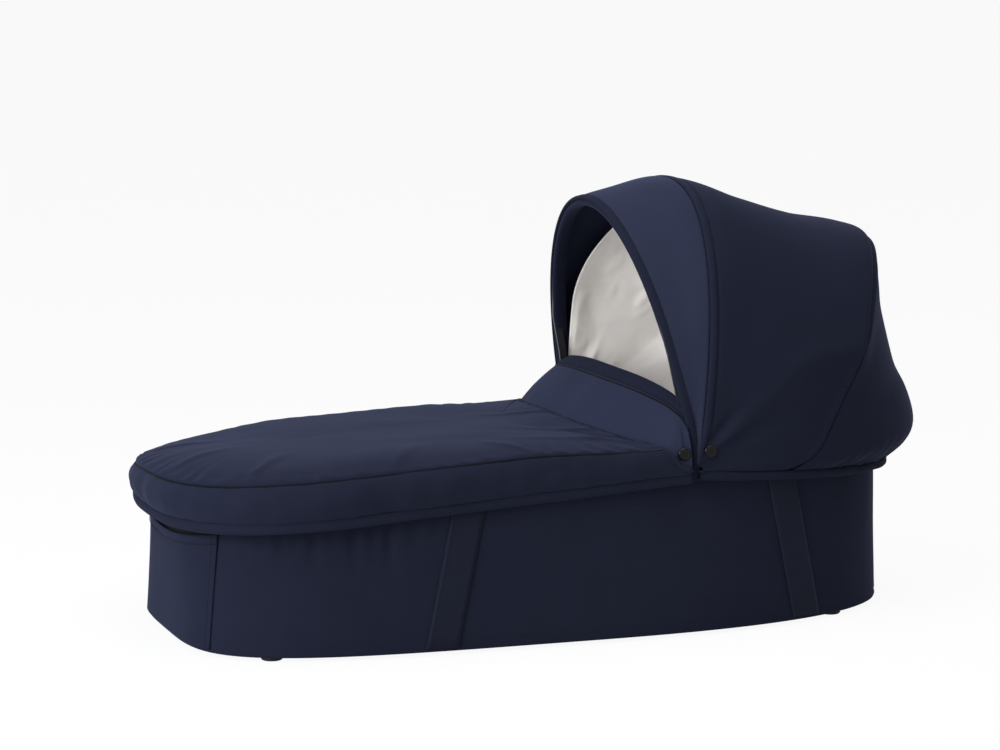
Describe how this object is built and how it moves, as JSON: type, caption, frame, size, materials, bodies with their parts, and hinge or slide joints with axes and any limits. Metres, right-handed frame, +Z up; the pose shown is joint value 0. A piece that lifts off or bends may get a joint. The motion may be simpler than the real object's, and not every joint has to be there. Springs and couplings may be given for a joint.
{
  "type": "carrycot",
  "caption": "Soft oval carrycot with a padded apron, a snap-down wind flap and a folding fabric hood, standing on rubber feet.",
  "frame": {"origin": "on the ground under the middle of the part's box, level with the undersides of the rubber feet", "axes": "+X from the foot end to the hood end, +Y to the cot's left, +Z up"},
  "size_m": [0.8508, 0.415, 0.455],
  "materials": {
    "navy_twill": "woven polyester twill with soft creases",
    "binding_tape": "ribbed webbing and bound edge tape",
    "pale_lining": "soft wrinkled cotton lining",
    "mattress_cover": "knitted mattress cover",
    "board_plastic": "moulded board, matt grained",
    "nylon": "injection moulded nylon, semi-gloss",
    "bow_plastic": "extruded springy flat strip, matt",
    "grip_foam": "moulded soft grip",
    "foot_rubber": "moulded rubber, matt",
    "rim_aluminium": "drawn tube, satin",
    "stay_steel": "zinc plated wire, satin"
  },
  "bodies": {
    "cot": {"base_board": "board_plastic", "rim_tube": "rim_aluminium", "foot_stay": "stay_steel", "head_stay": "stay_steel", "outer_cover": "navy_twill", "foot_panel": "navy_twill", "inner_liner": "pale_lining", "mattress": "mattress_cover", "hood_hem": "navy_twill", "hood_rear_panel": "navy_twill", "hood_lining_rear": "pale_lining", "rubber_foot_foot_end_left": "foot_rubber", "rubber_foot_foot_end_right": "foot_rubber", "rubber_foot_head_end_left": "foot_rubber", "rubber_foot_head_end_right": "foot_rubber", "foot_stay_clip_left": "nylon", "foot_stay_clip_right": "nylon", "head_stay_clip_left": "nylon", "head_stay_clip_right": "nylon", "carry_strap_left": "binding_tape", "carry_strap_right": "binding_tape", "handle_grip_left": "grip_foam", "handle_grip_right": "grip_foam", "hood_bracket_left": "nylon", "hood_bracket_right": "nylon", "hood_pin_left": "stay_steel", "hood_pin_right": "stay_steel"},
    "rear_bow": {"rear_bow": "bow_plastic"},
    "middle_bow": {"middle_bow": "bow_plastic", "hood_main_panel": "navy_twill", "hood_lining_main": "pale_lining", "hood_snap_left": "nylon", "hood_snap_right": "nylon"},
    "front_bow": {"front_bow": "bow_plastic", "hood_visor": "navy_twill"},
    "apron": {"apron_top": "navy_twill", "apron_band": "navy_twill", "apron_hem": "navy_twill", "apron_piping": "binding_tape"},
    "wind_flap": {"wind_flap": "navy_twill", "wind_flap_binding": "binding_tape", "flap_snap_left": "nylon", "flap_snap_right": "nylon"}
  },
  "joints": [
    {"name": "hood_fold", "type": "hinge", "parent": "cot", "child": "middle_bow", "pos_m": [0.1081, 0, 0.2], "axis": [0, 1, 0], "range_deg": [0, 45], "deforming": ["hood_rear_panel", "hood_lining_rear", "hood_main_panel", "hood_lining_main", "hood_visor"]},
    {"name": "rear_bow_fold", "type": "hinge", "parent": "cot", "child": "rear_bow", "pos_m": [0.1081, 0, 0.2], "axis": [0, 1, 0], "range_deg": [0, 23], "deforming": ["hood_rear_panel", "hood_lining_rear", "hood_main_panel", "hood_lining_main", "hood_visor"]},
    {"name": "front_bow_fold", "type": "hinge", "parent": "middle_bow", "child": "front_bow", "pos_m": [0.1081, 0, 0.2], "axis": [0, 1, 0], "range_deg": [0, 9], "deforming": ["hood_rear_panel", "hood_lining_rear", "hood_main_panel", "hood_lining_main", "hood_visor"]},
    {"name": "apron_lift", "type": "slide", "parent": "cot", "child": "apron", "axis": [-0.7071, 0, 0.7071], "range_m": [0, 0.12]},
    {"name": "flap_fold", "type": "hinge", "parent": "apron", "child": "wind_flap", "pos_m": [0.0926, 0, 0.191], "axis": [0, 1, 0], "range_deg": [-70, 0], "deforming": ["wind_flap", "wind_flap_binding"]}
  ],
  "couplings": [
    {"joint": "rear_bow_fold", "follows": "hood_fold", "ratio": 0.5},
    {"joint": "front_bow_fold", "follows": "hood_fold", "ratio": 0.18}
  ]
}
